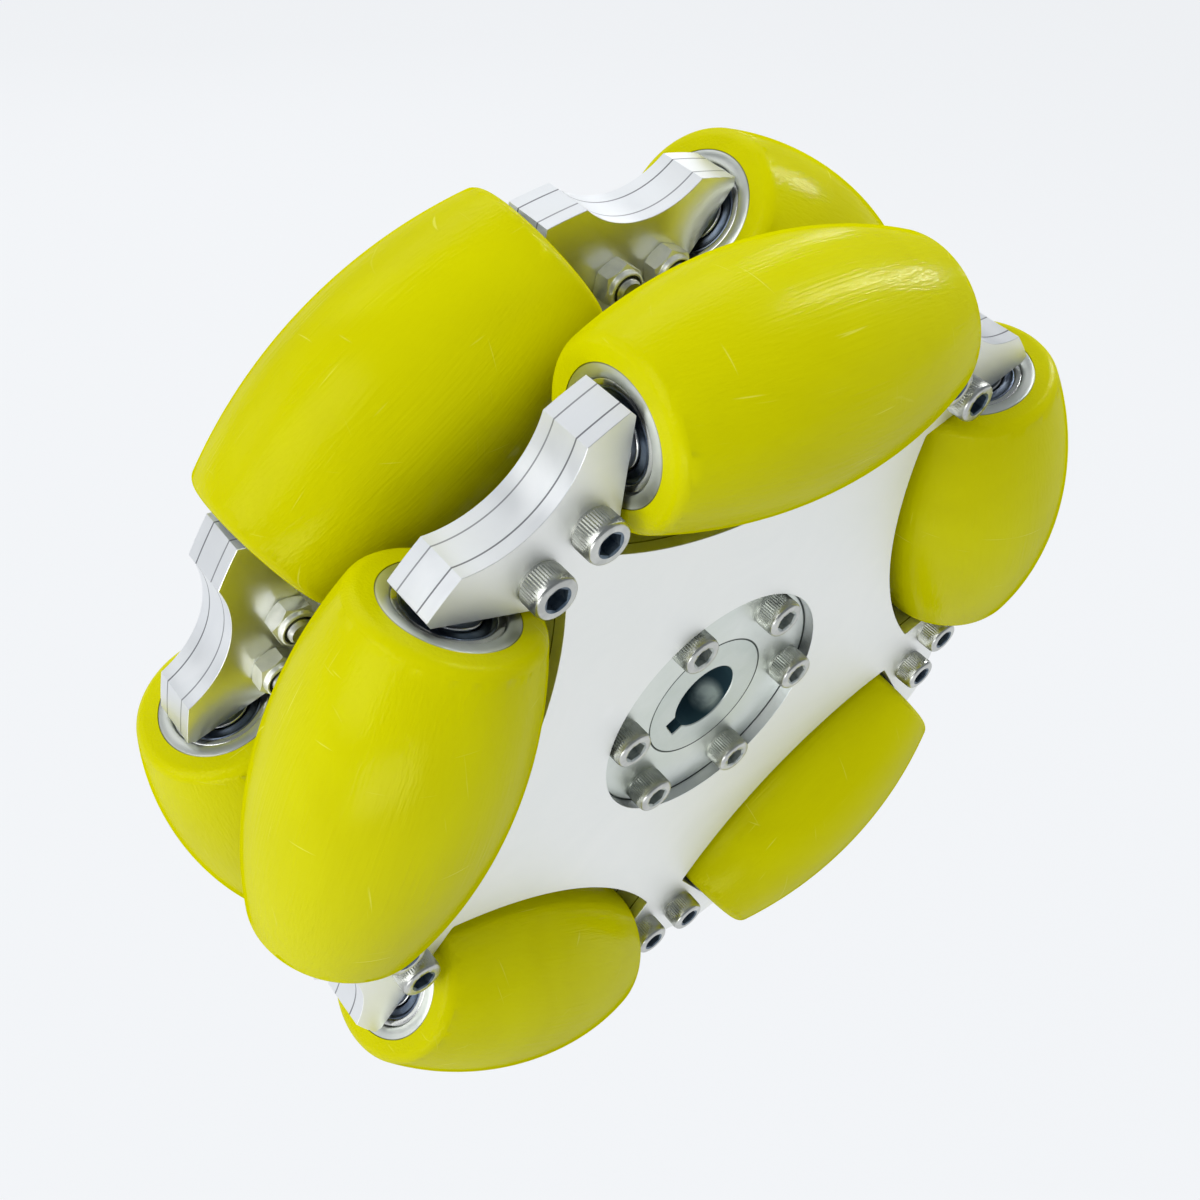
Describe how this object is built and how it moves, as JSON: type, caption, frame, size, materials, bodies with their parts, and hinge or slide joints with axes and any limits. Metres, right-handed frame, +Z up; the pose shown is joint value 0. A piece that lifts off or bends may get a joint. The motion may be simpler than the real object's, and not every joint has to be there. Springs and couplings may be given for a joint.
{
  "type": "omni wheel",
  "caption": "Double-row omnidirectional wheel with staggered barrel rollers in star-shaped aluminium plate sandwiches, on a keyed hub with a plain shaft bore",
  "frame": {"origin": "the wheel's centre, on the shaft axis, midway between the two rows of rollers", "axes": "+Y runs along the shaft axis from the front row towards the rear row; +Z points up through the first front roller; +X to the right seen from the front"},
  "size_m": [0.203, 0.087, 0.203],
  "materials": {
    "tyre": "yellow-green cast polyurethane, semi-gloss",
    "core_metal": "turned, bright",
    "bearing_steel": "ground bearing rings with pressed shields",
    "axle_steel": "turned steel",
    "plate_aluminium": "satin, clear anodised, with milled edges",
    "hub_aluminium": "fine turned, clear anodised",
    "screw_steel": "stainless steel",
    "nylon": "black nylon"
  },
  "bodies": {
    "hub_and_plates": {"hub": "hub_aluminium", "front_outer_star": "plate_aluminium", "front_middle_star": "plate_aluminium", "front_inner_star": "plate_aluminium", "front_hub_screws": "screw_steel", "front_arm_screws": "screw_steel", "front_lock_nuts": "screw_steel", "rear_outer_star": "plate_aluminium", "rear_middle_star": "plate_aluminium", "rear_inner_star": "plate_aluminium", "rear_hub_screws": "screw_steel", "rear_arm_screws": "screw_steel", "rear_lock_nuts": "screw_steel", "nut_inserts": "nylon", "bearing_inner_rings": "bearing_steel", "axle_spacers": "axle_steel", "front_roller_1_axle": "axle_steel", "front_roller_2_axle": "axle_steel", "front_roller_3_axle": "axle_steel", "front_roller_4_axle": "axle_steel", "front_roller_5_axle": "axle_steel", "rear_roller_1_axle": "axle_steel", "rear_roller_2_axle": "axle_steel", "rear_roller_3_axle": "axle_steel", "rear_roller_4_axle": "axle_steel", "rear_roller_5_axle": "axle_steel"},
    "front_roller_1": {"front_roller_1_tyre": "tyre", "front_roller_1_core": "core_metal", "front_roller_1_bearings": "bearing_steel"},
    "front_roller_2": {"front_roller_2_tyre": "tyre", "front_roller_2_core": "core_metal", "front_roller_2_bearings": "bearing_steel"},
    "front_roller_3": {"front_roller_3_tyre": "tyre", "front_roller_3_core": "core_metal", "front_roller_3_bearings": "bearing_steel"},
    "front_roller_4": {"front_roller_4_tyre": "tyre", "front_roller_4_core": "core_metal", "front_roller_4_bearings": "bearing_steel"},
    "front_roller_5": {"front_roller_5_tyre": "tyre", "front_roller_5_core": "core_metal", "front_roller_5_bearings": "bearing_steel"},
    "rear_roller_1": {"rear_roller_1_tyre": "tyre", "rear_roller_1_core": "core_metal", "rear_roller_1_bearings": "bearing_steel"},
    "rear_roller_2": {"rear_roller_2_tyre": "tyre", "rear_roller_2_core": "core_metal", "rear_roller_2_bearings": "bearing_steel"},
    "rear_roller_3": {"rear_roller_3_tyre": "tyre", "rear_roller_3_core": "core_metal", "rear_roller_3_bearings": "bearing_steel"},
    "rear_roller_4": {"rear_roller_4_tyre": "tyre", "rear_roller_4_core": "core_metal", "rear_roller_4_bearings": "bearing_steel"},
    "rear_roller_5": {"rear_roller_5_tyre": "tyre", "rear_roller_5_core": "core_metal", "rear_roller_5_bearings": "bearing_steel"}
  },
  "joints": [
    {"name": "front_roller_1_spin", "type": "hinge", "parent": "hub_and_plates", "child": "front_roller_1", "pos_m": [0, -0.021, 0.079], "axis": [-1, 0, 0], "continuous": true},
    {"name": "front_roller_2_spin", "type": "hinge", "parent": "hub_and_plates", "child": "front_roller_2", "pos_m": [-0.07513, -0.021, 0.02441], "axis": [-0.309, 0, -0.9511], "continuous": true},
    {"name": "front_roller_3_spin", "type": "hinge", "parent": "hub_and_plates", "child": "front_roller_3", "pos_m": [-0.04644, -0.021, -0.06391], "axis": [0.809, 0, -0.5878], "continuous": true},
    {"name": "front_roller_4_spin", "type": "hinge", "parent": "hub_and_plates", "child": "front_roller_4", "pos_m": [0.04644, -0.021, -0.06391], "axis": [0.809, 0, 0.5878], "continuous": true},
    {"name": "front_roller_5_spin", "type": "hinge", "parent": "hub_and_plates", "child": "front_roller_5", "pos_m": [0.07513, -0.021, 0.02441], "axis": [-0.309, 0, 0.9511], "continuous": true},
    {"name": "rear_roller_1_spin", "type": "hinge", "parent": "hub_and_plates", "child": "rear_roller_1", "pos_m": [-0.04644, 0.021, 0.06391], "axis": [-0.809, 0, -0.5878], "continuous": true},
    {"name": "rear_roller_2_spin", "type": "hinge", "parent": "hub_and_plates", "child": "rear_roller_2", "pos_m": [-0.07513, 0.021, -0.02441], "axis": [0.309, 0, -0.9511], "continuous": true},
    {"name": "rear_roller_3_spin", "type": "hinge", "parent": "hub_and_plates", "child": "rear_roller_3", "pos_m": [0, 0.021, -0.079], "axis": [1, 0, 0], "continuous": true},
    {"name": "rear_roller_4_spin", "type": "hinge", "parent": "hub_and_plates", "child": "rear_roller_4", "pos_m": [0.07513, 0.021, -0.02441], "axis": [0.309, 0, 0.9511], "continuous": true},
    {"name": "rear_roller_5_spin", "type": "hinge", "parent": "hub_and_plates", "child": "rear_roller_5", "pos_m": [0.04644, 0.021, 0.06391], "axis": [-0.809, 0, 0.5878], "continuous": true}
  ]
}
